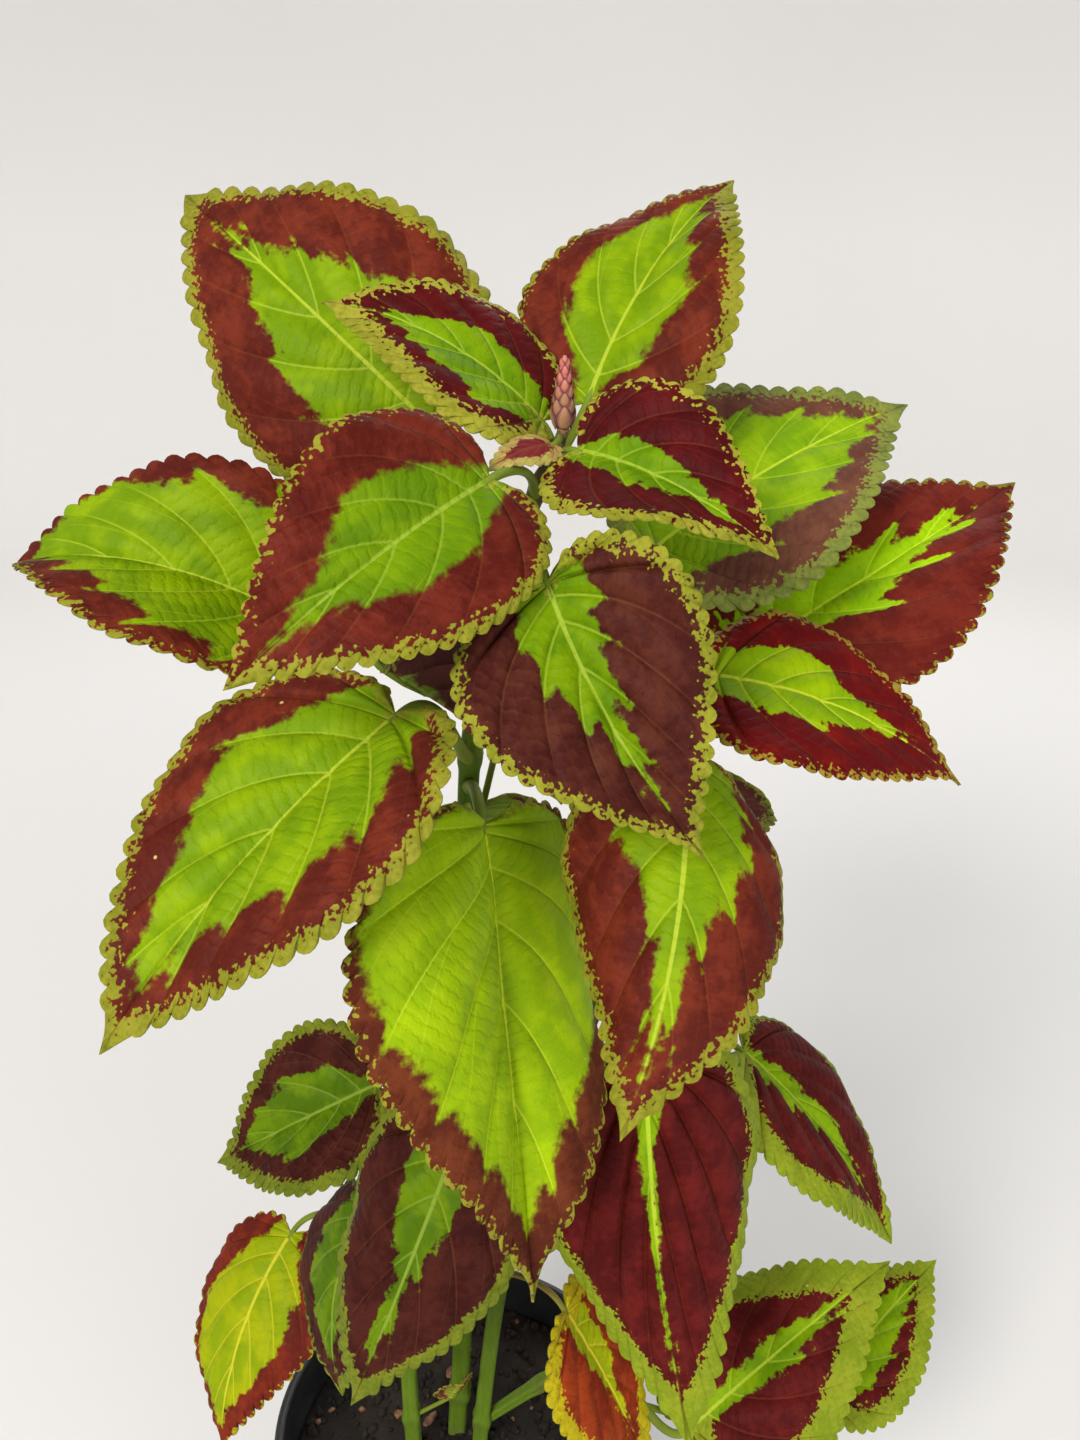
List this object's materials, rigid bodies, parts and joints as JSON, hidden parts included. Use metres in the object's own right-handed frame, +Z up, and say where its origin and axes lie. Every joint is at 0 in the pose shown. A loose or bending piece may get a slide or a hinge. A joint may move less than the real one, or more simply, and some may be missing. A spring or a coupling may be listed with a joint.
{
  "type": "potted coleus plant",
  "caption": "Coleus in a round nursery pot: square stems, toothed leaves with lime centres, red bands and olive edges, and a young flower spike.",
  "frame": {"origin": "middle of the pot's underside, on the surface that the pot rests on", "axes": "+Z up along the pot, +X to the right and +Y away from whoever looks at the plant's front"},
  "size_m": [0.29, 0.1535, 0.4786],
  "materials": {
    "pot_plastic": "black moulded plastic with a soft sheen",
    "soil_peat": "damp dark peat with small bits of bark",
    "stem_green": "fleshy green stem, faintly hairy",
    "leaf_blade": "soft velvety leaf, lime centre, red band and olive edge",
    "spike_bract": "soft pink bracts with tan feet"
  },
  "bodies": {
    "root": {"pot": "pot_plastic", "soil": "soil_peat", "stem_main": "stem_green", "stem_right": "stem_green", "stem_left": "stem_green", "shoot_low_right": "stem_green", "flower_spike": "spike_bract", "leaf_top_left": "leaf_blade", "leaf_top_right": "leaf_blade", "leaf_young_left": "leaf_blade", "leaf_bract": "leaf_blade", "leaf_heart_left": "leaf_blade", "leaf_far_left": "leaf_blade", "leaf_heart_right": "leaf_blade", "leaf_right_back": "leaf_blade", "leaf_far_right": "leaf_blade", "leaf_right_front": "leaf_blade", "leaf_centre_dark": "leaf_blade", "leaf_middle_left": "leaf_blade", "leaf_edge_on": "leaf_blade", "leaf_centre_front": "leaf_blade", "leaf_lower_right": "leaf_blade", "leaf_long_low": "leaf_blade", "leaf_right_mid": "leaf_blade", "leaf_bottom_right": "leaf_blade", "leaf_bottom_far_right": "leaf_blade", "leaf_low_left_small": "leaf_blade", "leaf_low_left_dark": "leaf_blade", "leaf_low_left_narrow": "leaf_blade", "leaf_ageing_left": "leaf_blade", "leaf_ageing_centre": "leaf_blade", "leaf_tiny": "leaf_blade", "leaf_back_upper": "leaf_blade", "leaf_back_middle": "leaf_blade", "leaf_back_right": "leaf_blade", "leaf_back_low": "leaf_blade", "leaf_low_left_back": "leaf_blade", "leaf_back_left": "leaf_blade"}
  },
  "joints": []
}
